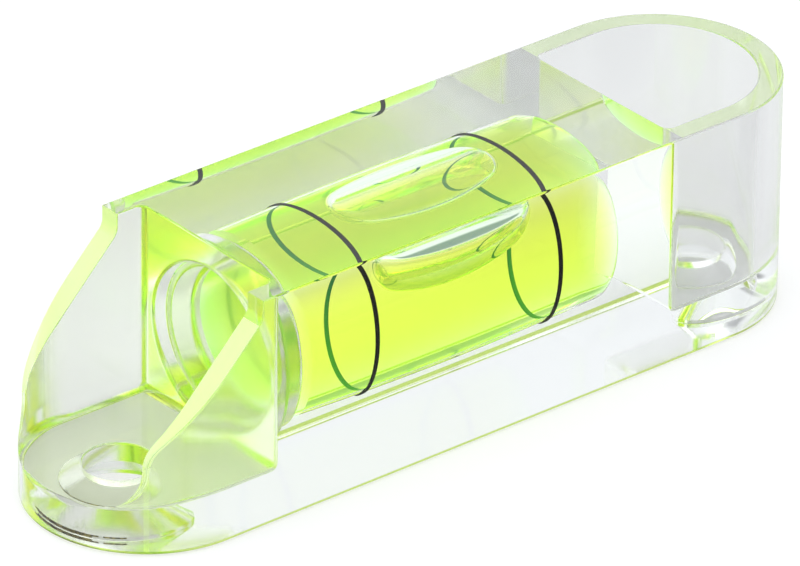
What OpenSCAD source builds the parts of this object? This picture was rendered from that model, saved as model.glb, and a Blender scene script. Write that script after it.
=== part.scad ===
// Small screw-on spirit level: a clear moulded block with a crowned bore full of liquid and one long bubble.
// The length runs along X with the bore's mouth at the -X end, Z is up,
// and the origin is the centre of the flat bottom.

/* [Body] */
// Overall length over the two round ends
body_l = 54; // [50:1:70]
// Overall width, which is also the diameter of the round ends
body_w = 15; // [14:0.5:18]
// Overall height
body_h = 15; // [14.5:0.5:20]
// Length of the solid block between the two end pockets
block_l = 30; // [28:0.5:32]
// Thickness of the upright walls around the pockets
wall_t = 1.5; // [1:0.1:2]
// Thickness of the two feet under the pockets
foot_t = 2.8; // [2.4:0.1:3.2]
// Radius of the fillets inside the pockets
pocket_fillet = 0.5; // [0.3:0.1:0.8]

/* [Cut-away wall] */
// Length of wall that stays at full height beyond the block
gusset_step = 1.9; // [1:0.1:3]
// Height of the short upright edge at the top of the slope
gusset_drop = 1.25; // [0.8:0.05:2.5]
// Height of the slope's low end above the foot
gusset_toe_h = 3.65; // [3.4:0.05:5]
// Length of open foot in front of the cut wall
foot_open = 2.8; // [2:0.1:4]
// Rounding where the slope turns down to the foot
gusset_toe_r = 2.3; // [0.5:0.1:3]
// Fillet at the top of the slope
gusset_top_r = 1; // [0.3:0.1:1.5]
// Fillet where the cut wall meets the foot
gusset_foot_r = 2.6; // [1:0.1:3]

/* [Screw holes] */
// Diameter of the through holes
hole_d = 4.3; // [4:0.1:4.6]
// Diameter of the countersinks under the feet
sink_d = 7; // [6:0.1:7.5]
// Depth of the straight rim of each countersink
sink_rim = 0.25; // [0.1:0.05:0.4]
// Distance from each round end to its hole's centre
hole_inset = 5.4; // [4.5:0.1:6]

/* [Bore] */
// Diameter of the bore at the middle of its crown
bore_d = 8.9; // [8:0.1:9.4]
// Height of the bore's axis above the bottom
bore_z = 8.2; // [8:0.1:9]
// Thickness of the block beyond the bore's closed end
end_wall_t = 3.2; // [2:0.1:5]
// Radius of the crown along the bore
crown_r = 250; // [150:10:500]
// Rounding of the closed end
bore_end_r = 0.8; // [0.4:0.1:1.2]

/* [Plug] */
// Diameter of the plug's seat in the mouth of the bore
seat_d = 10; // [9.6:0.1:10.2]
// Lead-in chamfer at the mouth
mouth_chamfer = 0.3; // [0.1:0.05:0.4]
// Depth of the plug's rim below the end face
plug_recess = 0.9; // [0.3:0.1:1.2]
// Length of the plug
plug_l = 2.3; // [2.1:0.1:3.2]
// Clearance between plug and seat for the cement
plug_fit = 0.02; // [0.01:0.01:0.05]
// Wall of the cup-shaped plug
cup_wall = 0.48; // [0.4:0.02:0.9]
// Depth of the cup
cup_depth = 1.55; // [0.8:0.05:1.8]
// Fillet inside the cup
cup_fillet = 0.4; // [0.2:0.1:0.7]
// Chamfer at the plug's inner edge
plug_chamfer = 0.2; // [0.1:0.05:0.4]

/* [Ring lines] */
// Distance between the centres of the two ring lines
line_spacing = 14; // [12.5:0.5:16]
// Width of each line
line_w = 0.32; // [0.2:0.02:0.5]
// Depth of the scribed groove that holds the ink
line_depth = 0.1; // [0.05:0.01:0.2]

/* [Bubble] */
// Length of the bubble
bubble_l = 11.9; // [10:0.1:12.5]
// Radius of the bubble's round underside at its middle
bubble_r = 3; // [2.8:0.1:3.2]
// Radius of the bubble's round ends
bubble_end_r = 2.4; // [2:0.1:2.6]
// Depth from the top of the bore to the bubble's lowest point
bubble_h = 3.8; // [3.4:0.1:4]
// How far the bubble stands off the middle, as on a surface that is not quite level
bubble_x = 0.4; // [-0.6:0.1:0.6]
// Film of liquid between the bubble and the bore
film_t = 0.1; // [0.08:0.01:0.15]
// Clearance between the bubble and the hollow in the liquid
bubble_gap = 0.05; // [0.02:0.01:0.1]

/* [Hidden] */
$fn = 240;
// Overshoot of a cutter past the face it opens
over = 1;

round_x = (body_l - body_w) / 2;
block_x = block_l / 2;
pocket_r = body_w / 2 - wall_t;
pocket_h = body_h - foot_t + over;

// Corners of the cut wall, seen along Y
step_x = -block_x - gusset_step;
step_z = body_h - gusset_drop;
toe_x = -body_l / 2 + foot_open;
toe_z = foot_t + gusset_toe_h;
slope = atan2(step_z - toe_z, step_x - toe_x);
turn = 90 - slope;
toe_t = gusset_toe_r * tan(turn / 2);
top_t = gusset_top_r * tan(turn / 2);
// The fillet at the foot leaves a short upright run below the toe's rounding
toe_run = 0.05;
foot_r = min(gusset_foot_r, gusset_toe_h - toe_t - toe_run);

hole_x = body_l / 2 - hole_inset;
sink_h = (sink_d - hole_d) / 2;

bore_r = bore_d / 2;
rim_x = -block_x + plug_recess;
// The liquid chamber runs from the plug's inner face to the closed end, and everything in it keeps to its middle
plug_x = rim_x + plug_l;
closed_x = block_x - end_wall_t;
mid_x = (plug_x + closed_x) / 2;
crown_c = bore_r - crown_r;
// The closed end's rounding reaches a little past the wall of the bore, so that the two faces cross at a clear angle
end_lap = 0.03;
round_end_x = closed_x - bore_end_r;
end_c = crown_c + sqrt(pow(crown_r, 2) - pow(round_end_x - mid_x, 2)) - bore_end_r + end_lap;

seat_r = seat_d / 2;
plug_r = seat_r - plug_fit;
cup_r = plug_r - cup_wall;

line_x = line_spacing / 2;
// The bore's radius at the line's wide edge, where the ink is level with the wall
line_in = crown_c + sqrt(pow(crown_r, 2) - pow(line_x - line_w / 2, 2));

bubble_z = bore_z + bore_r - bubble_h + bubble_r;
// The bubble's long section is an oval of arcs: its side arc runs into the arcs of its ends
bubble_end_x = bubble_l / 2 - bubble_end_r;
bubble_side_r = (pow(bubble_end_x, 2) + pow(bubble_r, 2) - pow(bubble_end_r, 2)) / (2 * (bubble_r - bubble_end_r));
bubble_side_c = bubble_r - bubble_side_r;
bubble_meet_x = bubble_end_x * bubble_side_r / (bubble_side_r - bubble_end_r);

// Outline of the body from above: a rectangle with full round ends
module plan() {
    square([2 * round_x, body_w], center = true);
    translate([round_x, 0])
        circle(d = body_w);
    translate([-round_x, 0])
        circle(d = body_w);
}

// What is cut from the wall at the mouth end, seen along Y: an upright edge, a slope and a low open foot,
// with arcs that touch their neighbours in all three corners
module wall_cut() {
    difference() {
        union() {
            polygon([
                [-body_l / 2 - over, foot_t],
                [toe_x - foot_r, foot_t],
                [toe_x, foot_t + foot_r],
                [toe_x, toe_z - toe_t],
                [toe_x + toe_t * cos(slope), toe_z + toe_t * sin(slope)],
                [step_x - top_t * cos(slope), step_z - top_t * sin(slope)],
                [step_x, step_z + top_t],
                [step_x, body_h + over],
                [-body_l / 2 - over, body_h + over]
            ]);
            translate([toe_x - foot_r, foot_t + foot_r])
                circle(r = foot_r);
            translate([step_x - gusset_top_r, step_z + top_t])
                circle(r = gusset_top_r);
        }
        translate([toe_x + gusset_toe_r, toe_z - toe_t])
            circle(r = gusset_toe_r);
    }
}

// Half section of a round hollow with a filleted floor, radius along X and height along Y
module hollow_profile(r, h, f) {
    square([r - f, h]);
    translate([0, f])
        square([r, h - f]);
    translate([r - f, f])
        circle(r = f);
}

// A rectangle with its two low corners rounded
module rounded_low(w, h, f) {
    translate([-w / 2, f])
        square([w, h - f]);
    translate([-w / 2 + f, 0])
        square([w - 2 * f, h]);
    translate([w / 2 - f, f])
        circle(r = f);
    translate([-w / 2 + f, f])
        circle(r = f);
}

// A rectangle with only its low left corner rounded
module rounded_corner(w, h, f) {
    translate([f, 0])
        square([w - f, h]);
    translate([0, f])
        square([w, h - f]);
    translate([f, f])
        circle(r = f);
}

// Hollow of a pocket on the +X side: a half round end about end_x and a straight part whose fillets meet
// in mitred corners
module pocket(end_x) {
    straight = end_x - block_x;
    translate([end_x, 0, foot_t])
        rotate([0, 0, -90])
            rotate_extrude(angle = 180)
                hollow_profile(pocket_r, pocket_h, pocket_fillet);
    translate([block_x, 0, foot_t])
        intersection() {
            linear_extrude(pocket_h)
                rotate([0, 0, -90])
                    rounded_low(2 * pocket_r, straight, pocket_fillet);
            rotate([90, 0, 90])
                linear_extrude(straight)
                    rounded_low(2 * pocket_r, pocket_h, pocket_fillet);
            translate([0, pocket_r, 0])
                rotate([90, 0, 0])
                    linear_extrude(2 * pocket_r)
                        rounded_corner(straight, pocket_h, pocket_fillet);
        }
}

// Screw hole through the foot at the origin, countersunk from below
module screw_hole() {
    rotate_extrude()
        polygon([
            [0, -over],
            [sink_d / 2, -over],
            [sink_d / 2, sink_rim],
            [hole_d / 2, sink_rim + sink_h],
            [hole_d / 2, foot_t + over],
            [0, foot_t + over]
        ]);
}

// Turns a half section about the bore's axis: its height runs along X
module about_bore() {
    translate([0, 0, bore_z])
        rotate([0, 90, 0])
            rotate_extrude()
                children();
}

// Half section of the liquid chamber: crowned along its length, flat at the plug, rounded at the closed end
module chamber_profile() {
    intersection() {
        translate([crown_c, mid_x])
            circle(r = crown_r, $fn = 1440);
        union() {
            translate([0, plug_x])
                square([bore_r + over, round_end_x - plug_x]);
            translate([0, plug_x])
                square([end_c, closed_x - plug_x]);
            translate([end_c, round_end_x])
                circle(r = bore_end_r);
        }
    }
}

// Half section of the mouth: the plug's seat and its lead-in chamfer
module mouth_profile() {
    polygon([
        [0, plug_x],
        [seat_r, plug_x],
        [seat_r, -block_x + mouth_chamfer],
        [seat_r + mouth_chamfer, -block_x],
        [seat_r + mouth_chamfer, -block_x - over],
        [0, -block_x - over]
    ]);
}

// Half section of a scribed groove and of the ink in it
module groove_profile(x) {
    translate([line_in, mid_x + x - line_w / 2])
        square([line_depth, line_w]);
}

// Long bubble form, an oval with round ends; grow is added all round
module bubble_form(grow) {
    end_r = bubble_end_r + grow;
    translate([mid_x + bubble_x, 0, bubble_z])
        rotate([0, 90, 0])
            rotate_extrude()
                intersection() {
                    union() {
                        intersection() {
                            translate([bubble_side_c, 0])
                                circle(r = bubble_side_r + grow, $fn = 720);
                            translate([0, -bubble_meet_x])
                                square([bubble_l, 2 * bubble_meet_x]);
                        }
                        for (side = [-1, 1])
                            translate([0, side * (bubble_end_x - end_lap)])
                                circle(r = end_r + end_lap);
                    }
                    translate([0, -bubble_l])
                        square([bubble_l, 2 * bubble_l]);
                }
}

// Clear moulding: block, feet and walls in one piece
module body() {
    color([0.88, 0.94, 0.93, 0.35])
        difference() {
            intersection() {
                linear_extrude(body_h)
                    plan();
                rotate([90, 0, 0])
                    linear_extrude(body_w + 2 * over, center = true)
                        difference() {
                            translate([-body_l / 2 - over, -over])
                                square([body_l + 2 * over, body_h + 2 * over]);
                            wall_cut();
                        }
            }
            pocket(round_x);
            // At the mouth end the pocket's round end is centred on the screw hole, so the wall thins out to nothing
            mirror([1, 0, 0])
                pocket(hole_x);
            translate([hole_x, 0, 0])
                screw_hole();
            translate([-hole_x, 0, 0])
                screw_hole();
            about_bore()
                chamber_profile();
            about_bore()
                mouth_profile();
            about_bore()
                groove_profile(-line_x);
            about_bore()
                groove_profile(line_x);
        }
}

// Cup-shaped stopper that closes the bore, open towards the mouth
module end_plug() {
    color([0.86, 0.95, 0.8, 0.5])
        about_bore()
            difference() {
                polygon([
                    [0, rim_x],
                    [plug_r, rim_x],
                    [plug_r, plug_x - plug_chamfer],
                    [plug_r - plug_chamfer, plug_x],
                    [0, plug_x]
                ]);
                translate([0, rim_x + cup_depth])
                    mirror([0, 1])
                        hollow_profile(cup_r, cup_depth + over, cup_fillet);
            }
}

// Liquid that fills the chamber around the bubble
module liquid() {
    color([0.78, 0.96, 0.12, 0.7])
        difference() {
            about_bore()
                chamber_profile();
            bubble_form(0);
        }
}

// Bubble: round underneath, and crowned like the bore on top
module air_bubble() {
    color([1, 1, 1, 0.4])
        intersection() {
            bubble_form(-bubble_gap);
            about_bore()
                intersection() {
                    translate([crown_c, mid_x])
                        circle(r = crown_r - film_t, $fn = 1440);
                    translate([0, mid_x - bubble_l])
                        square([bore_r, 2 * bubble_l]);
                }
        }
}

// Ink in a scribed groove, level with the wall of the bore
module ring_line(x) {
    color([0.05, 0.06, 0.05])
        about_bore()
            groove_profile(x);
}

// Line nearer the plug
module left_line() {
    ring_line(-line_x);
}

// Line nearer the closed end
module right_line() {
    ring_line(line_x);
}

body();
end_plug();
liquid();
air_bubble();
left_line();
right_line();
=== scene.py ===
# %% [markdown]
# # A mini spirit level in clear acrylic
# The object is one clear moulding with a bore full of fluorescent liquid. Almost everything that the eye
# sees in it is refraction, so the lesson is about dielectrics: which surface separates which two media, and
# what IOR belongs there. The CAD model gives the frame and the sizes. Each CAD node is replaced by a finer
# mesh of the same piece.

# %% Load the frame
import math

import bmesh
import bpy
from mathutils import Matrix, Vector


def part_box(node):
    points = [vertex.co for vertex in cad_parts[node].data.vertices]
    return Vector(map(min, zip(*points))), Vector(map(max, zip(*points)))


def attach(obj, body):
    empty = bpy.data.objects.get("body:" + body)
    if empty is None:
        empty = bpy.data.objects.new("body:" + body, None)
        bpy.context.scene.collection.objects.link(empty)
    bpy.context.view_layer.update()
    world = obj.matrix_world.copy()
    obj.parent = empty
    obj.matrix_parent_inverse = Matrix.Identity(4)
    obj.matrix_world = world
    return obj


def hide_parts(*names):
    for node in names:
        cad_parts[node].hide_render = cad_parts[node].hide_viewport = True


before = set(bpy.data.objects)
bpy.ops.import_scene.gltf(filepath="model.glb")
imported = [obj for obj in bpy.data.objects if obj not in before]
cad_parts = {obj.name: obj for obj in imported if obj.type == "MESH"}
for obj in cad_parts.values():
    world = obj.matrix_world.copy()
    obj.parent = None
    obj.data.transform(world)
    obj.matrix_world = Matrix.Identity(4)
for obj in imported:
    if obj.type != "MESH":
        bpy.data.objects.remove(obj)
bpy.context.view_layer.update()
for name in sorted(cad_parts):
    low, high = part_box(name)
    print(name, [round(1000 * (b - a), 2) for a, b in zip(low, high)], "mm")

# %% [markdown]
# ## Sizes
# A mesh that is made of millimetre numbers is easy to compare with a drawing. All meshes below are built in
# millimetres and shrunk to metres in one place. Overall sizes come from the CAD boxes, so they can't drift
# apart. The smaller ones repeat the values of the CAD source.

# %% Sizes in millimetres
MM = 0.001
body_low, body_high = (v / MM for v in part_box("body"))
plug_low, plug_high = (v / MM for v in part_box("end_plug"))
liquid_low, liquid_high = (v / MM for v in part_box("liquid"))
line_low, line_high = (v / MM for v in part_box("right_line"))

LENGTH, WIDTH, HEIGHT = body_high - body_low
END_R = WIDTH / 2                        # full round ends
ROUND_X = LENGTH / 2 - END_R             # centre of each round end
BLOCK_X = 15.0                           # half length of the solid block
WALL_T, FOOT_T = 1.5, 2.8
POCKET_R, POCKET_FILLET = END_R - WALL_T, 0.5
GUSSET_STEP, GUSSET_DROP = 1.9, 1.25     # tops of the gussets: off the block's end and below its top
FOOT_OPEN, GUSSET_TOE_H = 2.8, 3.65      # toes of the gussets: off the foot's front and above the foot
STEP_X, STEP_Z = -BLOCK_X - GUSSET_STEP, HEIGHT - GUSSET_DROP
TOE_X, TOE_Z = -LENGTH / 2 + FOOT_OPEN, FOOT_T + GUSSET_TOE_H
TOE_R, TOP_R, FOOT_R = 2.3, 1.0, 2.6     # roundings of the gussets at toe, top and foot
HOLE_INSET, HOLE_R = 5.4, 2.15
HOLE_X = LENGTH / 2 - HOLE_INSET
SINK_R, SINK_T = 3.5, 0.25               # the countersink's rim, under the foot
BORE_Z = (plug_low.z + plug_high.z) / 2
BORE_R = (liquid_high.y - liquid_low.y) / 2
CROWN_R, BORE_END_R = 250.0, 0.8
RIM_X, PLUG_X, CLOSED_X = plug_low.x, plug_high.x, liquid_high.x
SEAT_R, MOUTH_CHAMFER = 5.0, 0.3
print("body", LENGTH, WIDTH, HEIGHT, "bore radius", round(BORE_R, 3))
print("plug from", round(RIM_X, 2), "to", round(PLUG_X, 2))

# %% [markdown]
# ## Mesh tools
# Three small tools make every piece: one skins a row of loops, one turns a half section about the bore, and
# one cuts a solid with another. Ready-made primitives would be quicker, but loops give control over the
# spacing of vertices, which matters for smooth refraction.

# %% Mesh tools
SEGMENTS = 160                           # of a ring that is turned about the bore


def skin(name, loops, wrap=False):
    """A closed mesh over loops of equal length. The end loops are capped, or joined with wrap."""
    n, count = len(loops[0]), len(loops)
    verts = [p for loop in loops for p in loop]
    faces = []
    for i in range(count if wrap else count - 1):
        a, b = i * n, (i + 1) % count * n
        faces += [(a + j, a + (j + 1) % n, b + (j + 1) % n, b + j) for j in range(n)]
    if not wrap:
        faces += [tuple(range(n))[::-1], tuple(range((count - 1) * n, count * n))]
    mesh = bpy.data.meshes.new(name)
    mesh.from_pydata(verts, [], faces)
    bm = bmesh.new()
    bm.from_mesh(mesh)
    bmesh.ops.recalc_face_normals(bm, faces=bm.faces)
    bm.to_mesh(mesh)
    bm.free()
    obj = bpy.data.objects.new(name, mesh)
    bpy.context.scene.collection.objects.link(obj)
    return obj


def turn(name, section, segments=SEGMENTS, wrap=False):
    """Turns a half section of (radius, x) points about the bore's axis."""
    ring = [2 * math.pi * k / segments for k in range(segments)]
    loops = [[(x, r * math.cos(t), BORE_Z + r * math.sin(t)) for t in ring] for r, x in section]
    return skin(name, loops, wrap)


def arc(cx, cy, r, start, end, steps):
    """Points on an arc, angles in degrees."""
    return [(cx + r * math.cos(math.radians(start + (end - start) * k / steps)),
             cy + r * math.sin(math.radians(start + (end - start) * k / steps))) for k in range(steps + 1)]


def take(obj, modifier, **settings):
    """Adds a modifier, keeps what it makes as the object's own mesh, and removes it."""
    mod = obj.modifiers.new(modifier, modifier)
    for key, value in settings.items():
        setattr(mod, key, value)
    made = bpy.data.meshes.new_from_object(obj.evaluated_get(bpy.context.evaluated_depsgraph_get()))
    obj.modifiers.clear()
    obj.data = made


def cut(obj, cutter):
    take(obj, "BOOLEAN", operation="DIFFERENCE", solver="EXACT", object=cutter)
    bpy.data.objects.remove(cutter)


ring_error = BORE_R * (1 - math.cos(math.pi / SEGMENTS))
print(SEGMENTS, "segments stay within", round(1000 * ring_error, 2), "micrometres of the round bore")

# %% [markdown]
# ## The clear body
# On the real object this is one moulding: a prism with full round ends. A moulded edge is never a
# mathematical line, and a rounding of a tenth of a millimetre draws the thin bright and dark lines along
# clear plastic. A bevel would do that on a simple box, but it is easily upset by the edges that a boolean
# leaves. So the prism and its cutters are stacks of outlines that shrink or flare along a quarter circle
# where an edge is.

# %% Prism with rounded edges
EDGE_R = 0.12                            # rounding of every outer edge that isn't named below
BASE_EDGE_R = 0.3                        # the edge round the base is softer, and gathers the dye's light


def stadium(r, steps=72):
    right = [(ROUND_X + x, y) for x, y in arc(0, 0, r, -90, 90, steps)]
    return right + [(-x, -y) for x, y in right]


levels = arc(BASE_EDGE_R, BASE_EDGE_R, BASE_EDGE_R, 270, 180, 8)
levels += [(inset, HEIGHT - z) for inset, z in arc(EDGE_R, EDGE_R, EDGE_R, 180, 270, 5)]
body = skin("body_clear", [[(x, y, z) for x, y in stadium(END_R - inset)] for inset, z in levels])
print("prism has", len(body.data.polygons), "faces")

# %% [markdown]
# ## Pockets and screw holes
# Each end has a pocket with filleted corners, and a foot with a hole that is countersunk from below. A
# cylinder and a cone would give the hole too. One section with all its levels also rounds the edges, and
# its two thin levels below the countersink's rim let single faces there get a worn finish later.

# %% Cut pockets and holes
SCUFF_T = 0.10                           # height of one worn step below the countersink's rim
SINK_EDGE_R = 0.03                       # that rim's outer edge is nearly sharp
HOLE_SEGMENTS = 180


def flare(radius, steps=6, reach=0.2):
    """How a cutter widens to round the edge of a flat face: pairs of (widening, height below the face)."""
    pairs = [(radius * (1 - math.cos(a)), radius * (1 - math.sin(a)))
             for a in (math.radians(84 * k / steps) for k in range(steps + 1))]
    wide, low = pairs[-1]
    return pairs + [(wide + reach, low - reach * math.tan(math.radians(6)))]


def pocket_outline(inset, end_x, steps=72):
    """Outline of a pocket whose round end is centred on end_x."""
    r, f = POCKET_R - inset, max(POCKET_FILLET - inset, 1e-3)
    x0 = BLOCK_X + inset
    points = arc(end_x, 0, r, -90, 90, steps)
    points += arc(x0 + f, r - f, f, 90, 180, 6)
    points += arc(x0 + f, -r + f, f, 180, 270, 6)
    return points


def pocket_cutter(mirror, end_x):
    levels = [(POCKET_FILLET * (1 - math.cos(a)), FOOT_T + POCKET_FILLET * (1 - math.sin(a)))
              for a in (math.radians(90 - 90 * k / 8) for k in range(9))]
    levels += [(-wide, HEIGHT - low) for wide, low in flare(EDGE_R)]
    levels.append((levels[-1][0], HEIGHT + 1))
    loops = [[(mirror * x, y, z) for x, y in pocket_outline(inset, end_x)] for inset, z in levels]
    return skin("pocket", loops)


def hole_cutter(centre_x):
    section = [(SINK_R + wide, low) for wide, low in flare(SINK_EDGE_R, 2, 0.05)][::-1]
    section += [(SINK_R, SINK_T - k * SCUFF_T) for k in (2, 1, 0)]
    section += [(HOLE_R, SINK_T + SINK_R - HOLE_R)]
    section += [(HOLE_R + wide, FOOT_T - low) for wide, low in flare(EDGE_R)]
    section = [(section[0][0], -1)] + section + [(section[-1][0], FOOT_T + 1)]
    ring = [2 * math.pi * k / HOLE_SEGMENTS for k in range(HOLE_SEGMENTS)]
    loops = [[(centre_x + r * math.cos(t), r * math.sin(t), z) for t in ring] for r, z in section]
    return skin("hole", loops)


for mirror, end_x in ((1, ROUND_X), (-1, HOLE_X)):
    cut(body, pocket_cutter(mirror, end_x))
    cut(body, hole_cutter(mirror * HOLE_X))
print("body with pockets and holes has", len(body.data.polygons), "faces")

# %% [markdown]
# ## The bore
# The bore goes in from the mouth, with a wider seat for the plug and a rounded lip. A plain cylinder
# wouldn't do, because a level's bore is crowned: it is widest in the middle, so that the bubble floats there
# when the part is level. One half section gives the cutter, and later the liquid too.

# %% Cut the bore
def bore_radius(x):
    """Radius of the crowned bore at x."""
    return BORE_R - CROWN_R + math.sqrt(CROWN_R**2 - x**2)


chamber_end = CLOSED_X - BORE_END_R
chamber = [(bore_radius(x), x) for x in (PLUG_X + (chamber_end - PLUG_X) * k / 48 for k in range(49))]
corner = bore_radius(chamber_end) - BORE_END_R
chamber += [(corner + dx, chamber_end + dy) for dx, dy in arc(0, 0, BORE_END_R, 0, 90, 12)[1:]]
lip = [(SEAT_R + wide, -BLOCK_X + low) for wide, low in flare(MOUTH_CHAMFER, 8)][::-1]
mouth = [(lip[0][0], -BLOCK_X - 1)] + lip + [(SEAT_R, RIM_X), (SEAT_R, PLUG_X)]
cut(body, turn("bore", mouth + chamber))
print("the bore is", round(BORE_R - bore_radius(PLUG_X), 3), "mm narrower in radius at the plug")

# %% [markdown]
# ## The sloped wall
# At the mouth end most of the wall is missing, so that two gussets and a low foot are left. The cutter is a
# stack of level lines along the slope. Each line curls back where it leaves the wall's two sides, which
# rounds the gussets' edges. A thin ring cutter then rounds the front edge of the foot, and fades out where
# the gussets begin. Last, the flat top is scored across, so that the rim of the closed end can have its own
# material, which paints the dye's light on it as a tint and a glow.

# %% Cut the wall
def cut_line(x, z):
    """One level of the cutter, from the far side to the near side."""
    def half_width(r, end_x):
        return r if x > -end_x else math.sqrt(max(r**2 - (x + end_x)**2, 0))

    outer = half_width(END_R, ROUND_X)
    inner = min(half_width(POCKET_R, HOLE_X), outer - 0.02)
    edge_r = min(EDGE_R, 0.4 * (outer - inner))
    half = [(x + wide, inner + low) for wide, low in flare(edge_r, 6, 0.3 * edge_r)[::-1]]
    half += [(x + wide, outer - low) for wide, low in flare(edge_r, 6, 0.3 * edge_r)]
    half = [(half[0][0], 0.2 * inner)] + half + [(half[-1][0] + 0.3, WIDTH), (-LENGTH, WIDTH)]
    return [(px, py, z) for px, py in half[::-1]] + [(px, -py, z) for px, py in half]


slope = math.atan2(STEP_Z - TOE_Z, STEP_X - TOE_X)
tangent = math.tan((math.pi / 2 - slope) / 2)
side = arc(TOE_X - FOOT_R, FOOT_T + FOOT_R, FOOT_R, -90, 0, 12)
side += arc(TOE_X + TOE_R, TOE_Z - TOE_R * tangent, TOE_R, 180, 90 + math.degrees(slope), 16)
toe_x, toe_z = side[-1]
side += [(STEP_X - (STEP_X - toe_x) * k / 10, STEP_Z - (STEP_Z - toe_z) * k / 10) for k in range(9, 1, -1)]
side += arc(STEP_X - TOP_R, STEP_Z + TOP_R * tangent, TOP_R, math.degrees(slope) - 90, 0, 10)
side += [(STEP_X, HEIGHT + 0.5)]
cut(body, skin("wall_cut", [cut_line(x, z) for x, z in side]))
print("the gussets slope at", round(math.degrees(slope), 1), "degrees")

# %% Round the foot's edge
FOOT_EDGE_R = 0.3                        # the open foot's top edge is softer than the others
FOOT_EDGE_HALF, FOOT_EDGE_FADE = 24, 10  # half the angle that it spans and the part that fades, in degrees
CLEARANCE = 0.002                        # the cutter's lips start this far outside the foot
loops = []
for k in range(-FOOT_EDGE_HALF, FOOT_EDGE_HALF + 1):
    edge_r = FOOT_EDGE_R * max(min((FOOT_EDGE_HALF - abs(k)) / FOOT_EDGE_FADE, 1), 0.03)
    inner_r, lower_z = END_R - 1.3 * edge_r, FOOT_T - 1.3 * edge_r
    edge = [(END_R - edge_r + r, FOOT_T - edge_r + z) for r, z in arc(0, 0, edge_r, 88, 2, 8)]
    edge = [(inner_r, FOOT_T + CLEARANCE)] + edge + [(END_R + CLEARANCE, lower_z)]
    edge += [(END_R + 0.2, lower_z), (END_R + 0.2, FOOT_T + 0.1), (inner_r, FOOT_T + 0.1)]
    turn_by = math.radians(k)
    loops.append([(-ROUND_X - r * math.cos(turn_by), r * math.sin(turn_by), z) for r, z in edge])
cut(body, skin("foot_edge", loops))
print("foot edge rounded over", 2 * FOOT_EDGE_HALF, "degrees")

# %% Score the top
def score_top(obj, x):
    """Splits the flat top face along a line across it, at x."""
    bm = bmesh.new()
    bm.from_mesh(obj.data)
    top = [face for face in bm.faces
           if face.normal.z > 0.99 and face.calc_center_median().z > HEIGHT - 0.01]
    parts = top + [edge for face in top for edge in face.edges]
    parts += [vert for face in top for vert in face.verts]
    bmesh.ops.bisect_plane(bm, geom=list(dict.fromkeys(parts)), plane_co=(x, 0, 0), plane_no=(1, 0, 0))
    bm.to_mesh(obj.data)
    bm.free()


score_top(body, BLOCK_X)
print("finished body has", len(body.data.polygons), "faces")

# %% [markdown]
# ## Which face meets which medium
# A ray tracer bends light by the ratio of two IORs. Where clear plastic (1.49) meets air the ratio is 1.49,
# but where it meets the liquid (1.43) the ratio is only 1.04, so the bore almost vanishes there. Cement has
# the plastic's own index, so the joint between plug and seat bends nothing.
#
# The faces to air differ too. The block's sides look polished, the gussets' slopes matt, and the pockets,
# holes and base somewhere between. Rims and edges gather the light of the dye, which their materials have
# as painted light. A painted mask could tell them apart. A rule that looks at a face's place and direction
# needs no painting, and gives each face the material slot of its finish.

# %% Names of the finishes
FINISHES = ("clear", "wetted", "cemented", "sawn", "milled", "scuffed",
            "edge_lit", "foot", "base_edge", "hazy", "unpolished")
(CLEAR, WETTED, CEMENTED, SAWN, MILLED, SCUFFED,
 EDGE_LIT, FOOT, BASE_EDGE, HAZY, UNPOLISHED) = range(len(FINISHES))
NEAR_FLAT = 0.01                         # a face whose centre is this close to a flat surface lies in it
NEAR_ROUND = 0.02                        # the same for a round surface, which the mesh follows in chords
LEVEL = 0.98                             # a face is level where its normal's z is above this
print(len(FINISHES), "finishes")

# %% Rules for the left hole and the gussets
WORN_ARCS = ((146, 212, 2), (140, 218, 1), (222, 242, 1))  # round the rim: from and to in degrees, steps
SAWN_LOW = TOE_Z - 0.6                   # the slopes are matt above this height and clearer below
NEAR_SAWN_TOP = STEP_Z - 0.4             # the near slope is matt only up to here


def hole_finish(p):
    """The left hole is milled, and worn in one or two steps below the rim of its countersink."""
    angle = math.degrees(math.atan2(p.y, p.x + HOLE_X)) % 360
    steps = max((depth for start, end, depth in WORN_ARCS if start < angle < end), default=0)
    return SCUFFED if SINK_T - steps * SCUFF_T < p.z < SINK_T else MILLED


def gusset_finish(p, normal):
    """The left wall has matt slopes. Its inside is milled at the far gusset and hazy at the near one."""
    if p.z < FOOT_T + NEAR_FLAT:
        return CLEAR
    if p.x < STEP_X + NEAR_FLAT and normal.x < -0.2 and abs(normal.y) < 0.55:
        sawn_top = HEIGHT if p.y > 0 else NEAR_SAWN_TOP
        return SAWN if SAWN_LOW < p.z < sawn_top else HAZY
    if p.x < -BLOCK_X - NEAR_FLAT and abs(p.y) < POCKET_R + NEAR_ROUND and normal.z < LEVEL:
        return MILLED if p.y > 0 else HAZY
    return CLEAR


print("slopes are matt from", round(SAWN_LOW, 2), "mm up, the near one to", round(NEAR_SAWN_TOP, 2), "mm")

# %% Sort the faces of the body
def bore_polar(p):
    return p.x, math.hypot(p.y, p.z - BORE_Z)


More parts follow.
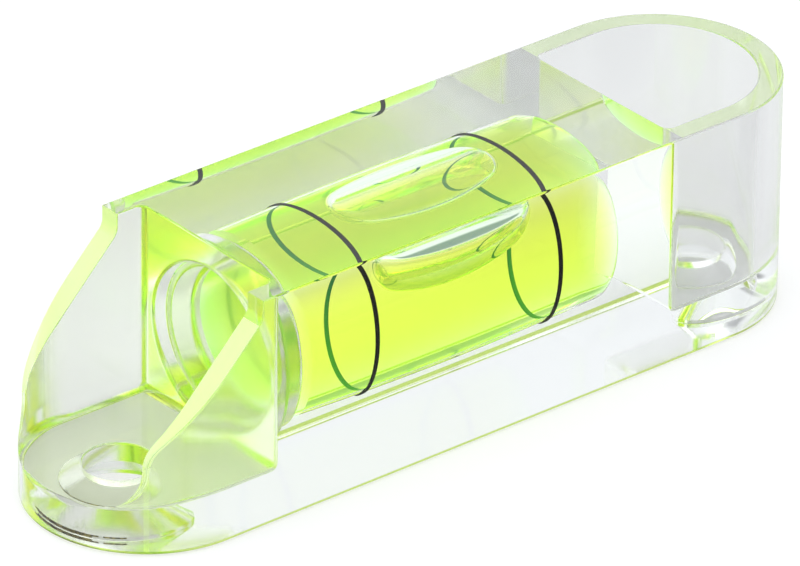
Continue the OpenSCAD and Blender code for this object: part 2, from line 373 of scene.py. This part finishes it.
def body_finish(p, normal):
    x, r = bore_polar(p)
    if PLUG_X + NEAR_FLAT < x < CLOSED_X + NEAR_FLAT and r < bore_radius(x) + NEAR_ROUND:
        return WETTED
    if RIM_X < x < PLUG_X + NEAR_FLAT and r < SEAT_R + NEAR_ROUND:
        return CEMENTED
    if -BLOCK_X + NEAR_ROUND < x < RIM_X + NEAR_FLAT and r < SEAT_R + MOUTH_CHAMFER:
        return MILLED
    around = math.hypot(p.x + HOLE_X, p.y)
    if around < SINK_R + NEAR_ROUND and p.z < FOOT_T - EDGE_R and abs(normal.z) < 0.9:
        return hole_finish(p)
    # The end face and the rim get a tint and a glow that are painted light of the dye
    end_face = abs(x + BLOCK_X) < NEAR_FLAT and normal.x < -0.9
    rim = x > BLOCK_X and p.z > HEIGHT - NEAR_FLAT and normal.z > 0.99
    if end_face or rim:
        return EDGE_LIT
    # Faces of the base edge get a strong yellow-green tint, which is painted light of the dye
    if p.z < BASE_EDGE_R and 0.05 < -normal.z < LEVEL and around > SINK_R + 0.2:
        return BASE_EDGE
    into_pocket = normal.x * (ROUND_X - x) - normal.y * p.y > 0 and normal.x < 0.9
    right_wall = x > BLOCK_X + NEAR_FLAT and p.z > FOOT_T + NEAR_FLAT and abs(normal.z) < LEVEL
    if p.z < NEAR_FLAT or right_wall and into_pocket:
        return UNPOLISHED
    # The foot's top gets a pale yellow-green tint and a faint glow, painted light of the dye
    if x < -BLOCK_X and abs(p.z - FOOT_T) < NEAR_FLAT and normal.z > LEVEL:
        return FOOT
    return gusset_finish(p, normal)


def sort_faces(obj, rule):
    count = dict.fromkeys(FINISHES, 0)
    for face in obj.data.polygons:
        face.material_index = rule(face.center, face.normal)
        count[FINISHES[face.material_index]] += 1
    print(obj.name, count)


sort_faces(body, body_finish)

# %% [markdown]
# ## The plug
# The stopper is a shallow cup in the mouth of the bore, with its open side out. It could be a cylinder with
# a pocket cut into it. Turning one half section is shorter, and gives the rim a small rounding and the
# corner inside the cup a larger one, as a moulded cup has.

# %% Plug
PLUG_R = (plug_high.y - plug_low.y) / 2
CUP_WALL, CUP_DEPTH, CUP_FILLET = 0.48, 1.55, 0.4
PLUG_CHAMFER, PLUG_RIM_R = 0.2, 0.1
SKIN = 0.01                              # keeps touching surfaces apart, so that a ray meets each one once
cup_r, cup_x = PLUG_R - CUP_WALL, RIM_X + CUP_DEPTH
inner_x, rim_arc_x = PLUG_X - SKIN, RIM_X + PLUG_RIM_R


def plug_finish(p, normal):
    x, r = bore_polar(p)
    if x > PLUG_X - 2 * SKIN:
        return WETTED if r < bore_radius(PLUG_X) - SKIN else CEMENTED
    return CEMENTED if r > PLUG_R - 0.15 and x > RIM_X + 0.2 else CLEAR


section = [(bore_radius(PLUG_X), inner_x), (PLUG_R - PLUG_CHAMFER, inner_x)]
section += [(PLUG_R, inner_x - PLUG_CHAMFER), (PLUG_R, RIM_X + 0.25)]
section += [(PLUG_R - PLUG_RIM_R + dx, rim_arc_x - dy) for dx, dy in arc(0, 0, PLUG_RIM_R, 0, 90, 4)]
section += [(cup_r + PLUG_RIM_R + dx, rim_arc_x - dy) for dx, dy in arc(0, 0, PLUG_RIM_R, 90, 180, 4)]
section += [(cup_r - CUP_FILLET + dx, cup_x - CUP_FILLET + dy) for dx, dy in arc(0, 0, CUP_FILLET, 0, 90, 8)]
plug = turn("plug_clear", section)
sort_faces(plug, plug_finish)

# %% [markdown]
# ## Liquid and ring lines
# The liquid is the bore's own form, a hundredth of a millimetre smaller so that the two surfaces never
# coincide. It has no hollow for the bubble, so the bubble can be anywhere in it. The lines are ink in
# scribed grooves: thin bands that lie in the bore's wall and stand out of it by a hair. A painted line on
# the wall would do from the side, but a band also has a thickness where it is seen edge on.

# %% Liquid and lines
LINE_X, LINE_W = (line_low.x + line_high.x) / 2, line_high.x - line_low.x
LINE_DEEP, LINE_HIGH, LINE_EDGE_R = 0.09, 0.012, 0.03    # into the wall, out of the wall, and rounding
section = [(r - SKIN, min(max(x, PLUG_X + SKIN), CLOSED_X - SKIN)) for r, x in chamber]
liquid = turn("liquid_fill", section)
lines = []
for name, x in (("left", -LINE_X), ("right", LINE_X)):
    wall_r = bore_radius(abs(x) - LINE_W / 2)
    deep_r, high_r = wall_r + LINE_DEEP - LINE_EDGE_R, wall_r - LINE_HIGH + LINE_EDGE_R
    x_low, x_high = x - LINE_W / 2 + LINE_EDGE_R, x + LINE_W / 2 - LINE_EDGE_R
    outline = arc(deep_r, x_high, LINE_EDGE_R, 0, 90, 3) + arc(high_r, x_high, LINE_EDGE_R, 90, 180, 3)
    outline += arc(high_r, x_low, LINE_EDGE_R, 180, 270, 3) + arc(deep_r, x_low, LINE_EDGE_R, 270, 360, 3)
    lines.append(turn(name + "_line_ink", outline, 240, wrap=True))
print("liquid faces", len(liquid.data.polygons), "line faces", len(lines[0].data.polygons))

# %% [markdown]
# ## The bubble
# On top the bubble follows the bore with a thin film between them. Underneath, surface tension gives it a
# round belly and round ends. A stretched sphere would be quicker, but its top would leave the bore. So both
# forms are written as distances, and a soft maximum joins them without a crease. Each cross section is then
# found by walking out from its middle until the distance is zero.

# %% Form of the bubble
BUBBLE_L, BUBBLE_R, BUBBLE_END_R, BUBBLE_H, BUBBLE_X = 11.9, 3.0, 2.4, 3.8, 0.4
FILM, BUBBLE_GAP = 0.1, 0.05             # liquid above the bubble, and the gap inside the CAD hollow
CREASE = 0.5                             # over this length the top runs into the belly
bubble_z = BORE_Z + BORE_R - BUBBLE_H + BUBBLE_R
end_x = BUBBLE_L / 2 - BUBBLE_END_R
side_r = (end_x**2 + BUBBLE_R**2 - BUBBLE_END_R**2) / (2 * (BUBBLE_R - BUBBLE_END_R))


def bubble_distance(x, y, z):
    a = math.hypot(y, z - BORE_Z) - (bore_radius(x) - FILM)
    along, out = abs(x - BUBBLE_X), math.hypot(y, z - bubble_z)
    below = out + side_r - BUBBLE_R
    if along * (side_r - BUBBLE_R) < end_x * below:
        b = math.hypot(along, below) - side_r
    else:
        b = math.hypot(along - end_x, out) - BUBBLE_END_R
    b += BUBBLE_GAP
    h = max(CREASE - abs(a - b), 0) / CREASE
    return max(a, b) + h * h * CREASE / 4


def edge_from(inside, outside):
    """The point between two where the distance is zero."""
    for _ in range(26):
        middle = [(p + q) / 2 for p, q in zip(inside, outside)]
        if bubble_distance(*middle) < 0:
            inside = middle
        else:
            outside = middle
    return inside


print("the belly curves along the bore with a radius of", round(side_r, 2), "mm")

# %% Bubble
SECTIONS, POINTS = 96, 96
BEYOND = 4.0                             # from a section's middle, this is outside the bubble everywhere
start_z = BORE_Z + BORE_R - BUBBLE_H / 2
heights = [start_z + d * 0.02 for d in range(-20, 70)]
tries = [start_z + d * 0.004 for d in range(-200, 401)]
low_x, high_x = (pick(edge_from((BUBBLE_X, 0, z), (BUBBLE_X + way * BUBBLE_L, 0, z))[0] for z in heights)
                 for pick, way in ((min, -1), (max, 1)))
ring = [2 * math.pi * i / POINTS for i in range(POINTS)]
loops = []
for k in range(1, SECTIONS):
    x = (low_x + high_x) / 2 - (high_x - low_x) / 2 * math.cos(math.pi * k / SECTIONS)
    middle = min((bubble_distance(x, 0, z), z) for z in tries)[1]
    loops.append([edge_from((x, 0, middle), (x, BEYOND * math.cos(t), middle + BEYOND * math.sin(t)))
                  for t in ring])
bubble = skin("bubble_air", loops)
depth = [p[2] for loop in loops for p in loop]
print("bubble is", round(high_x - low_x, 2), "mm long and", round(max(depth) - min(depth), 2), "mm deep")

# %% [markdown]
# ## Finishing the meshes
# All pieces go from millimetres to metres here. Smooth shading is right for curved faces, and face-area
# weights keep the large flat faces truly flat next to their rounded edges: a bent normal on flat plastic
# would bend what is behind it.

# %% To metres, with smooth normals
SHARP_DEGREES = 38
for obj in [body, plug, liquid, bubble] + lines:
    obj.data.transform(Matrix.Scale(MM, 4))
    for face in obj.data.polygons:
        face.use_smooth = True
    obj.data.set_sharp_from_angle(angle=math.radians(SHARP_DEGREES))
    if obj is body or obj is plug:
        take(obj, "WEIGHTED_NORMAL", mode="FACE_AREA", weight=100, keep_sharp=True)
    print(obj.name, len(obj.data.vertices), "vertices")

# %% [markdown]
# ## Materials
# Colours are written as the hex values that a picture shows, and one function turns them into linear light.
# Another adds a node with its settings and links, so that each material reads as a short list.

# %% Material tools
WHITE = (1.0, 1.0, 1.0, 1.0)


def linear(code):
    parts = [int(code[i:i + 2], 16) / 255 for i in (1, 3, 5)]
    return tuple(c / 12.92 if c <= 0.04045 else ((c + 0.055) / 1.055) ** 2.4 for c in parts) + (1.0,)


def add(tree, kind, inputs=None, **settings):
    node = tree.nodes.new(kind)
    for key, value in settings.items():
        setattr(node, key, value)
    for key, value in (inputs or {}).items():
        if isinstance(value, bpy.types.NodeSocket):
            tree.links.new(value, node.inputs[key])
        else:
            node.inputs[key].default_value = value
    return node


def new_tree(name):
    mat = bpy.data.materials.new(name)
    mat.use_nodes = True
    mat.node_tree.nodes.clear()
    return mat, mat.node_tree


print("the grey #808080 is", round(linear("#808080")[0], 3), "in linear light")

# %% [markdown]
# ## Clear acrylic
# Acrylic has an IOR of about 1.49 and hardly any colour of its own. A glass shader would give its clear
# faces, but the Principled shader also has frost and glow. A slight flow in the surface makes it look
# moulded, so a weak bump has waves of 4 mm. The finishes differ in roughness, in frost, and in the
# yellow-green that the dye sends into rims, foot and edges. That light runs inside the plastic on long paths
# that are slow to trace, so those faces have it as painted light: a tint or a weak glow. The faint grey of
# milled faces is painted shade.

# %% Acrylic shader
IOR_ACRYLIC, IOR_LIQUID = 1.49, 1.43
FLOW_MM, FLOW_HEIGHT_MM = 4.0, 0.02
DYE_GLOW = "#D8FF70"


def acrylic(name, ior=IOR_ACRYLIC, waves=0.05, rough=0.0, tint="#FFFFFF", frost=0.0, glow=0.0):
    mat, tree = new_tree(name)
    place = add(tree, "ShaderNodeTexCoord").outputs["Object"]
    flow = add(tree, "ShaderNodeTexNoise", {
        "Vector": place, "Scale": 1 / (FLOW_MM * MM), "Detail": 2.0, "Roughness": 0.4})
    bump = add(tree, "ShaderNodeBump", {
        "Height": flow.outputs["Fac"], "Strength": waves, "Distance": FLOW_HEIGHT_MM * MM})
    shader = add(tree, "ShaderNodeBsdfPrincipled", {
        "Base Color": linear(tint), "Roughness": rough, "IOR": ior, "Transmission Weight": 1 - frost,
        "Emission Color": linear(DYE_GLOW), "Emission Strength": glow, "Normal": bump.outputs["Normal"]})
    add(tree, "ShaderNodeOutputMaterial", {"Surface": shader.outputs["BSDF"]})
    return mat


print("acrylic to liquid has an IOR of", round(IOR_ACRYLIC / IOR_LIQUID, 3))

# %% Acrylic in its finishes
# Polished faces give sharp reflections and a clear view through them
clear = acrylic("acrylic_clear")
# A face against the liquid is nearly invisible, and one against the cement quite so
wetted = acrylic("acrylic_wetted", ior=IOR_ACRYLIC / IOR_LIQUID, waves=0.02)
cemented = acrylic("acrylic_cemented", ior=1.0, waves=0.0)
# A sawn slope is matt, so it shows as a pale, half opaque strip, with a painted yellow-green glow of the dye
sawn = acrylic("acrylic_sawn", waves=0.1, rough=0.5, tint="#F8FFE0", frost=0.4, glow=0.25)
# A milled face blurs a little, and its faint grey tint is painted shade
milled = acrylic("acrylic_milled_painted_grey", waves=0.1, rough=0.2, tint="#E6E6E0", frost=0.02)
# The plug is moulded with a softer surface, and its yellow-green tint is painted light of the dye
moulded_painted_dye_light = acrylic("acrylic_moulded_painted_dye_light", rough=0.25, tint="#DFEFBF")
# On the end face, the rim, the foot and the base edge, light of the dye leaves the plastic, painted there as
# tint and glow
edge_lit = acrylic("acrylic_edge_lit", waves=0.1, rough=0.15, tint="#FCFFF4", glow=0.2)
# painted light of the dye: a pale yellow-green tint and a faint glow on the foot
foot_top = acrylic("acrylic_foot", tint="#F6FCE2", glow=0.05)
# painted light of the dye: a strong yellow-green tint on the base edge
base_edge = acrylic("acrylic_base_edge", waves=0.1, rough=0.15, tint="#AACC3A")
# Unpolished faces, on the base and in the right pocket, soften what is behind them
unpolished = acrylic("acrylic_unpolished", rough=0.1)
# The near gusset's inside blurs what is behind it and glows faintly
hazy = acrylic("acrylic_hazy", waves=0.1, rough=0.2, tint="#FCFFF4", glow=0.09)
print(len(bpy.data.materials), "materials so far")

# %% [markdown]
# ## Worn acrylic
# Part of the left countersink's rim is worn and dark, with a broken, golden brown look. A crushed surface
# lets little light through, so this is an opaque plastic whose colour comes from a noise with grains of a
# fifth of a millimetre. A picture could give the pattern, but a noise needs no file.

# %% Worn rim
GRAIN_MM = 0.2
scuffed, tree = new_tree("acrylic_scuffed")
place = add(tree, "ShaderNodeTexCoord").outputs["Object"]
grain = add(tree, "ShaderNodeTexNoise", {
    "Vector": place, "Scale": 1 / (GRAIN_MM * MM), "Detail": 5.0, "Roughness": 0.7})
dirt = add(tree, "ShaderNodeValToRGB", {"Fac": grain.outputs["Fac"]})
for stop, position, code in zip(dirt.color_ramp.elements, (0.46, 0.64), ("#2A2408", "#C8B870")):
    stop.position = position
    stop.color = linear(code)
shader = add(tree, "ShaderNodeBsdfPrincipled", {
    "Base Color": dirt.outputs["Color"], "Roughness": 0.6, "IOR": 1.45})
add(tree, "ShaderNodeOutputMaterial", {"Surface": shader.outputs["BSDF"]})
print("worn rim in grains of", GRAIN_MM, "mm")

# %% [markdown]
# ## Fluorescent liquid
# A level is filled with a thin oil or spirit and a fluorescent dye. The dye takes the blue out of light that
# passes, so the liquid looks yellow, and gives part of it back as green light in all directions. A coloured
# glass shader would colour the surface alone. Here a volume absorbs, so that a longer way gives more colour,
# and a weak emission of the surface, a painted glow, stands for the green. The painted glow turns darker and
# cooler towards the top. The surface's own IOR is 1, because the bore's wall already bends the light.

# %% Fluorescent liquid
ABSORB_PER_MM = 0.3
liquid_mat, tree = new_tree("liquid_fluorescent")
place = add(tree, "ShaderNodeTexCoord").outputs["Object"]
height = add(tree, "ShaderNodeSeparateXYZ", {"Vector": place}).outputs["Z"]
# The painted glow of the dye is darker and cooler towards the top
level = add(tree, "ShaderNodeMapRange", {
    "Value": height, "From Min": (BORE_Z - BORE_R) * MM, "From Max": (BORE_Z + BORE_R) * MM})
painted_dye_glow = add(tree, "ShaderNodeValToRGB", {"Fac": level.outputs[0]})
for stop, position, code in zip(painted_dye_glow.color_ramp.elements, (0.55, 0.92), ("#72FF52", "#44A474")):
    stop.position = position
    stop.color = linear(code)
shader = add(tree, "ShaderNodeBsdfPrincipled", {
    "Base Color": WHITE, "Roughness": 0.0, "IOR": 1.0, "Transmission Weight": 1.0,
    "Emission Color": painted_dye_glow.outputs["Color"], "Emission Strength": 0.19})
fill = add(tree, "ShaderNodeVolumeAbsorption", {
    "Color": linear("#F6F356"), "Density": ABSORB_PER_MM / MM})
add(tree, "ShaderNodeOutputMaterial", {
    "Surface": shader.outputs["BSDF"], "Volume": fill.outputs["Volume"]})
print("liquid from", round(BORE_Z - BORE_R, 2), "to", round(BORE_Z + BORE_R, 2), "mm above the base")

# %% [markdown]
# ## Air and ink
# A bubble is a hole in the liquid. It could be cut out of the liquid's mesh, but then it couldn't move. As a
# mesh of its own, its surface leads from the liquid into air, so its IOR is below 1, which the Glass shader
# accepts. The lines are matt black ink with a few olive specks. Real pigment is too fine to show, so the
# specks are drawn coarser, at nine grains to the millimetre.

# %% Air and ink
INK_GRAINS_PER_MM = 9.0
air_mat, tree = new_tree("air_in_liquid")
shader = add(tree, "ShaderNodeBsdfGlass", {"Color": WHITE, "Roughness": 0.0, "IOR": 1 / IOR_LIQUID})
add(tree, "ShaderNodeOutputMaterial", {"Surface": shader.outputs["BSDF"]})

ink_mat, tree = new_tree("ink_black")
place = add(tree, "ShaderNodeTexCoord").outputs["Object"]
grain = add(tree, "ShaderNodeTexNoise", {
    "Vector": place, "Scale": INK_GRAINS_PER_MM / MM, "Detail": 4.0, "Roughness": 0.6})
specks = add(tree, "ShaderNodeValToRGB", {"Fac": grain.outputs["Fac"]})
for stop, position, code in zip(specks.color_ramp.elements, (0.56, 0.75), ("#0C0E08", "#5A5A20")):
    stop.position = position
    stop.color = linear(code)
shader = add(tree, "ShaderNodeBsdfPrincipled", {
    "Base Color": specks.outputs["Color"], "Roughness": 0.6, "IOR": 1.45, "Specular IOR Level": 0.1})
add(tree, "ShaderNodeOutputMaterial", {"Surface": shader.outputs["BSDF"]})
print("liquid to air has an IOR of", round(1 / IOR_LIQUID, 3))

# %% [markdown]
# ## Putting the pieces in place
# Each mesh gets its materials, rides on the body that carries it, and stands for one CAD node. The bubble
# rides on a body of its own, so it can run along the bore.

# %% Hand the pieces to the frame
body_mats = (clear, wetted, cemented, sawn, milled, scuffed,
             edge_lit, foot_top, base_edge, hazy, unpolished)
for obj, mats, rides, slot, stands_for in (
        (body, body_mats, "block", "clear_acrylic", "body"),
        (plug, (moulded_painted_dye_light, wetted, cemented), "block", "plug_acrylic", "end_plug"),
        (liquid, (liquid_mat,), "block", "level_liquid", "liquid"),
        (bubble, (air_mat,), "bubble", "bubble_air", "air_bubble"),
        (lines[0], (ink_mat,), "block", "ring_ink", "left_line"),
        (lines[1], (ink_mat,), "block", "ring_ink", "right_line")):
    for mat in mats:
        obj.data.materials.append(mat)
    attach(obj, rides)
    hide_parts(stands_for)
    print(obj.name, "rides on", rides, "with", len(mats), "materials")

# %% [markdown]
# ## Floor
# The part stands on white paper. To the camera the paper is white, and it keeps the part's soft shadow. Rays
# that come through the plastic need more care, because much of what they show is this paper. For them the
# paper has a painted pool of light: close to the part it mostly gives back the light that reaches it, so
# coloured light under the liquid shows. Farther off it reflects less and shines a little itself, a painted
# darkening with a weak painted glow, and in front a painted shade makes it darker.

# %% Floor
floor_mesh = bpy.data.meshes.new("floor")
floor_mesh.from_pydata([(-2, -2, 0), (2, -2, 0), (2, 2, 0), (-2, 2, 0)], [], [(0, 1, 2, 3)])
floor = bpy.data.objects.new("floor", floor_mesh)
floor.location.z = -0.05 * MM
bpy.context.scene.collection.objects.link(floor)
print("floor lies", round(-floor.location.z / MM, 3), "mm below the base")

# %% White paper
# The pool of light and the darker front are painted into the paper for rays through the plastic
POOL_MM = (14, 32)                       # from the middle: where the pool of light fades, and where it ends
FRONT_MM = (-20, -9)                     # across the part: where the front is darkest, and where it ends
floor_mat, tree = new_tree("paper_white")
ray = add(tree, "ShaderNodeLightPath").outputs
spot = add(tree, "ShaderNodeNewGeometry").outputs["Position"]
away = add(tree, "ShaderNodeVectorMath", {0: spot}, operation="LENGTH").outputs["Value"]
away = add(tree, "ShaderNodeMapRange", {
    "Value": away, "From Min": POOL_MM[0] * MM, "From Max": POOL_MM[1] * MM}).outputs[0]
# Painted shade: the paper is darker in front of the part
painted_front_shade = add(tree, "ShaderNodeSeparateXYZ", {"Vector": spot}).outputs["Y"]
painted_front_shade = add(tree, "ShaderNodeMapRange", {
    "Value": painted_front_shade, "From Min": FRONT_MM[0] * MM, "From Max": FRONT_MM[1] * MM, "To Min": 0.3}).outputs[0]
# Painted pool of light: the paper's colour is pale near the part and darker farther off
painted_pool = add(tree, "ShaderNodeMapRange", {"Value": away, "To Min": 0.92, "To Max": 0.45}).outputs[0]
painted_pool = add(tree, "ShaderNodeMath", {0: painted_pool, 1: painted_front_shade}, operation="MULTIPLY").outputs[0]
# A weak painted glow of the paper, stronger farther off
painted_floor_glow = add(tree, "ShaderNodeMapRange", {"Value": away, "To Min": 0.07, "To Max": 0.3}).outputs[0]
painted_floor_glow = add(tree, "ShaderNodeMath", {0: painted_floor_glow, 1: painted_front_shade}, operation="MULTIPLY").outputs[0]
through = add(tree, "ShaderNodeMath", {
    0: ray["Is Glossy Ray"], 1: ray["Is Transmission Ray"]}, operation="MAXIMUM").outputs[0]
through = add(tree, "ShaderNodeMath", {0: through, 1: painted_floor_glow}, operation="MULTIPLY").outputs[0]
shine = add(tree, "ShaderNodeMath", {
    0: ray["Is Camera Ray"], 1: 0.66, 2: through}, operation="MULTIPLY_ADD").outputs[0]
# The camera sees evenly white paper, other rays see the painted pool of light
white = add(tree, "ShaderNodeMapRange", {
    "Value": ray["Is Camera Ray"], "To Min": painted_pool, "To Max": 0.36}).outputs[0]
paper = add(tree, "ShaderNodeBsdfDiffuse", {"Color": white})
lift = add(tree, "ShaderNodeEmission", {"Color": WHITE, "Strength": shine})
both = add(tree, "ShaderNodeAddShader", {0: paper.outputs[0], 1: lift.outputs[0]})
add(tree, "ShaderNodeOutputMaterial", {"Surface": both.outputs[0]})
floor_mesh.materials.append(floor_mat)
print("paper has", len(tree.nodes), "nodes")

# %% [markdown]
# ## Studio light
# A white room lights the part evenly, with a wide soft light overhead. Clear plastic needs something darker
# to show its edges, so the side that the camera stands on is dim, and a small grey panel hangs high at the
# right and back. Lamps and cards could be set up as objects. One world shader of round patches is shorter.

# %% World
world = bpy.data.worlds.new("studio")
bpy.context.scene.world = world
world.use_nodes = True
tree = world.node_tree
tree.nodes.clear()
direction = add(tree, "ShaderNodeTexCoord").outputs["Generated"]


def patch(toward, edge, core, outside, inside):
    """A value that goes from outside to inside near a direction; edge and core are cosines."""
    along = add(tree, "ShaderNodeVectorMath", {
        0: direction, 1: Vector(toward).normalized()}, operation="DOT_PRODUCT")
    return add(tree, "ShaderNodeMapRange", {
        "Value": along.outputs["Value"], "From Min": edge, "From Max": core,
        "To Min": outside, "To Max": inside}, interpolation_type="SMOOTHSTEP").outputs[0]


dim_front = patch((-0.60, -0.76, 0.25), 0.35, 0.95, 0.97, 0.33)
grey_panel = patch((0.55, 0.33, 0.76), 0.95, 0.99, 1.0, 0.3)
softbox = patch((-0.30, -0.20, 0.93), 0.55, 0.92, 0.0, 1.1)
walls = add(tree, "ShaderNodeMath", {0: dim_front, 1: grey_panel}, operation="MULTIPLY").outputs[0]
strength = add(tree, "ShaderNodeMath", {0: walls, 1: softbox}, operation="ADD").outputs[0]
sky = add(tree, "ShaderNodeBackground", {"Color": linear("#F9FDFF"), "Strength": strength})
add(tree, "ShaderNodeOutputWorld", {"Surface": sky.outputs[0]})
print("studio has", len(tree.nodes), "nodes")

# %% [markdown]
# ## Camera
# The camera was found by fitting the object's outline: it stands well back with a long lens, off the mouth
# end and above, and rolls by half a degree. The fit gives the pixel on which the frame's origin falls, and
# the pixels that the part's width takes there.

# %% Camera
AZIMUTH, ELEVATION, ROLL = (math.radians(a) for a in (-39.925, 28.647, 0.575))
PICTURE_PX, FOCAL_PX = (800, 566), 10604.0
ORIGIN_PX = (404.479, 389.582)
PX_PER_MM = 252.743 / 15
SENSOR_MM = 36
back = Vector((math.sin(AZIMUTH) * math.cos(ELEVATION), -math.cos(AZIMUTH) * math.cos(ELEVATION),
               math.sin(ELEVATION)))
level_right = Vector((math.cos(AZIMUTH), math.sin(AZIMUTH), 0))
level_up = back.cross(level_right)
right = level_right * math.cos(ROLL) + level_up * math.sin(ROLL)
down = level_right * math.sin(ROLL) - level_up * math.cos(ROLL)
off_x, off_y = ((origin - size / 2) / PX_PER_MM for origin, size in zip(ORIGIN_PX, PICTURE_PX))
shift = Vector((off_x, off_y, FOCAL_PX / PX_PER_MM))
camera = bpy.data.objects.new("camera", bpy.data.cameras.new("camera"))
camera.matrix_world = Matrix((right, -down, back)).transposed().to_4x4()
camera.location = -(right * shift.x + down * shift.y - back * shift.z) * MM
camera.data.sensor_width = SENSOR_MM
camera.data.lens = SENSOR_MM * FOCAL_PX / PICTURE_PX[0]
camera.data.clip_start, camera.data.clip_end = 0.01, 10
bpy.context.scene.collection.objects.link(camera)
bpy.context.scene.camera = camera
print("camera at", [round(c, 4) for c in camera.location])

# %% [markdown]
# ## Render settings
# A ray through this part crosses many surfaces and is often thrown back inside. With too few bounces it
# ends early and leaves a dark spot, so the limits are raised.

# %% Bounces that clear plastic needs
scene = bpy.context.scene
scene.view_settings.view_transform = "Standard"
scene.cycles.max_bounces = 48
scene.cycles.transmission_bounces = 48
scene.cycles.glossy_bounces = 24
scene.cycles.diffuse_bounces = 4
scene.cycles.transparent_max_bounces = 16
print("up to", scene.cycles.max_bounces, "bounces")
